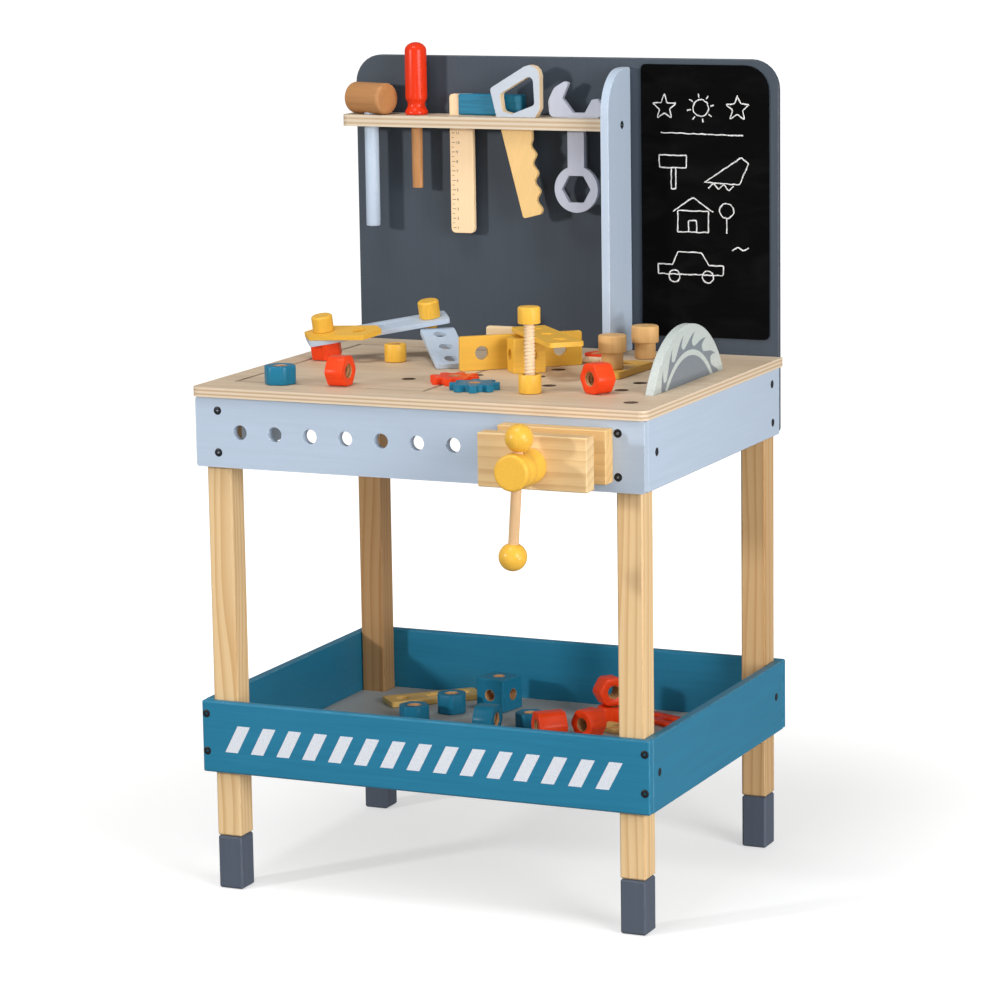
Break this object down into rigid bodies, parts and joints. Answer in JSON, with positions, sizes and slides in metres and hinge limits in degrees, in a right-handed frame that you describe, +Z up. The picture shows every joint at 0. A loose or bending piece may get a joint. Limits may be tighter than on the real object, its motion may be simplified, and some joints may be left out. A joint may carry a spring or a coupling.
{
  "type": "toy workbench",
  "caption": "Child's wooden workbench with a screw vise, saw slot, rack of hanging toy tools, chalkboard, lower tray and loose construction parts.",
  "frame": {"origin": "middle of the overall box, on the floor", "axes": "+Z up, +Y from the vise side towards the back panel, +X to the right of a child standing at the bench"},
  "size_m": [0.486, 0.4902, 0.835],
  "materials": {
    "pine": "planed pine under clear lacquer",
    "plywood": "birch plywood with visible layers at the edges, clear lacquer",
    "blue_paint": "satin paint on board",
    "slate_paint": "matt paint on board",
    "chalk_surface": "matt blackboard coat",
    "teal_paint": "satin paint on board",
    "grey_board": "painted hardboard",
    "yellow_paint": "satin stain on beech",
    "saw_paint": "satin paint with a printed tooth ring",
    "brown_stain": "brown stain on beech",
    "pale_blue_stain": "satin paint on plywood",
    "red_stain": "satin stain on beech",
    "teal_stain": "satin stain on beech",
    "tan_stain": "clear lacquer on plywood",
    "screw_steel": "zinc-plated countersunk screws",
    "white_print": "screen-printed white",
    "black_print": "printed black ruler marks",
    "chalk_white": "chalk drawing"
  },
  "bodies": {
    "bench": {"tabletop": "plywood", "tool_rack": "plywood", "front_apron": "blue_paint", "left_apron": "blue_paint", "right_apron": "blue_paint", "divider": "blue_paint", "back_panel": "slate_paint", "chalkboard": "chalk_surface", "tray_front": "teal_paint", "tray_back": "teal_paint", "tray_left": "teal_paint", "tray_right": "teal_paint", "tray_floor": "grey_board", "vise_fixed_jaw": "pine", "vise_nut": "pine", "saw_rest_rail": "pine", "front_left_leg": "pine", "front_left_foot": "slate_paint", "front_right_leg": "pine", "front_right_foot": "slate_paint", "rear_left_leg": "pine", "rear_left_foot": "slate_paint", "rear_right_leg": "pine", "rear_right_foot": "slate_paint"},
    "vise_jaw": {"vise_moving_jaw": "pine", "vise_guide_dowel_1": "pine", "vise_guide_dowel_2": "pine"},
    "vise_spindle": {"vise_knob": "yellow_paint", "vise_screw": "pine"},
    "vise_handle": {"vise_handle_bar": "yellow_paint"},
    "saw_segment": {"circular_saw_segment": "saw_paint"},
    "hammer": {"hammer_head": "brown_stain", "hammer_handle": "pale_blue_stain"},
    "screwdriver": {"screwdriver_handle": "red_stain", "screwdriver_shank": "brown_stain"},
    "square": {"square_stock": "teal_stain", "square_blade": "plywood"},
    "hand_saw": {"hand_saw_handle": "pale_blue_stain", "hand_saw_blade": "tan_stain"},
    "wrench": {"wrench": "pale_blue_stain"},
    "plank_bridge": {"nut_red_bridge": "red_stain", "plank_blue_long": "pale_blue_stain", "plank_yellow_short": "yellow_paint", "bolt_bridge_left": "yellow_paint", "bolt_bridge_right": "yellow_paint", "plank_blue_ramp": "pale_blue_stain"},
    "yellow_planks": {"plank_yellow_long": "yellow_paint", "bracket_yellow": "yellow_paint", "plank_yellow_top": "yellow_paint"},
    "tall_bolt": {"bolt_yellow_tall": "yellow_paint", "nut_yellow_tall": "yellow_paint"},
    "teal_nut": {"nut_teal_table": "teal_stain"},
    "red_nut_left": {"nut_red_table_left": "red_stain"},
    "red_nut_right": {"nut_red_table_right": "red_stain"},
    "yellow_nut": {"nut_yellow_table": "yellow_paint"},
    "red_gear": {"gear_red": "red_stain"},
    "teal_gear": {"gear_teal": "teal_stain"},
    "plank_and_peg": {"plank_ochre": "tan_stain", "peg_natural": "tan_stain"},
    "teal_cube": {"cube_teal": "teal_stain"}
  },
  "joints": [
    {"name": "vise_jaw_slide", "type": "slide", "parent": "bench", "child": "vise_jaw", "axis": [0, 1, 0], "range_m": [-0.0165, 0.0275]},
    {"name": "vise_screw_turn", "type": "hinge", "parent": "vise_jaw", "child": "vise_spindle", "pos_m": [0.15, -0.19985, 0.469], "axis": [0, 1, 0], "range_deg": [-720, 1224]},
    {"name": "vise_handle_slide", "type": "slide", "parent": "vise_spindle", "child": "vise_handle", "axis": [0.0698, 0, 0.9976], "range_m": [0, 0.051]},
    {"name": "saw_segment_lift", "type": "slide", "parent": "bench", "child": "saw_segment", "axis": [0, 0, 1], "range_m": [0, 0.06]},
    {"name": "hammer_lift", "type": "slide", "parent": "bench", "child": "hammer", "axis": [0, 0, 1], "range_m": [0, 0.12]},
    {"name": "screwdriver_lift", "type": "slide", "parent": "bench", "child": "screwdriver", "axis": [0, 0, 1], "range_m": [0, 0.08]},
    {"name": "square_lift", "type": "slide", "parent": "bench", "child": "square", "axis": [0, 0, 1], "range_m": [0, 0.127]},
    {"name": "hand_saw_lift", "type": "slide", "parent": "bench", "child": "hand_saw", "axis": [-0.1925, 0, 0.9813], "range_m": [0, 0.108]},
    {"name": "wrench_lift", "type": "slide", "parent": "bench", "child": "wrench", "axis": [0, 0, 1], "range_m": [0, 0.1]},
    {"name": "plank_bridge_lift", "type": "slide", "parent": "bench", "child": "plank_bridge", "axis": [0, 0, 1], "range_m": [0, 0.1]},
    {"name": "yellow_planks_lift", "type": "slide", "parent": "bench", "child": "yellow_planks", "axis": [0, 0, 1], "range_m": [0, 0.1]},
    {"name": "tall_bolt_lift", "type": "slide", "parent": "bench", "child": "tall_bolt", "axis": [0, 0, 1], "range_m": [0, 0.1]},
    {"name": "teal_nut_lift", "type": "slide", "parent": "bench", "child": "teal_nut", "axis": [0, 0, 1], "range_m": [0, 0.1]},
    {"name": "red_nut_left_lift", "type": "slide", "parent": "bench", "child": "red_nut_left", "axis": [0, 0, 1], "range_m": [0, 0.1]},
    {"name": "red_nut_right_lift", "type": "slide", "parent": "bench", "child": "red_nut_right", "axis": [0, 0, 1], "range_m": [0, 0.1]},
    {"name": "yellow_nut_lift", "type": "slide", "parent": "bench", "child": "yellow_nut", "axis": [0.3015, -0.3015, 0.9045], "range_m": [0, 0.1]},
    {"name": "red_gear_lift", "type": "slide", "parent": "bench", "child": "red_gear", "axis": [0, 0, 1], "range_m": [0, 0.1]},
    {"name": "teal_gear_lift", "type": "slide", "parent": "bench", "child": "teal_gear", "axis": [0, 0, 1], "range_m": [0, 0.1]},
    {"name": "plank_and_peg_lift", "type": "slide", "parent": "bench", "child": "plank_and_peg", "axis": [0.3511, 0, 0.9363], "range_m": [0, 0.1]},
    {"name": "teal_cube_lift", "type": "slide", "parent": "bench", "child": "teal_cube", "axis": [0, 0, 1], "range_m": [0, 0.09]}
  ],
  "couplings": [
    {"joint": "vise_jaw_slide", "follows": "vise_screw_turn", "m_per_rad": 0.0012732}
  ]
}
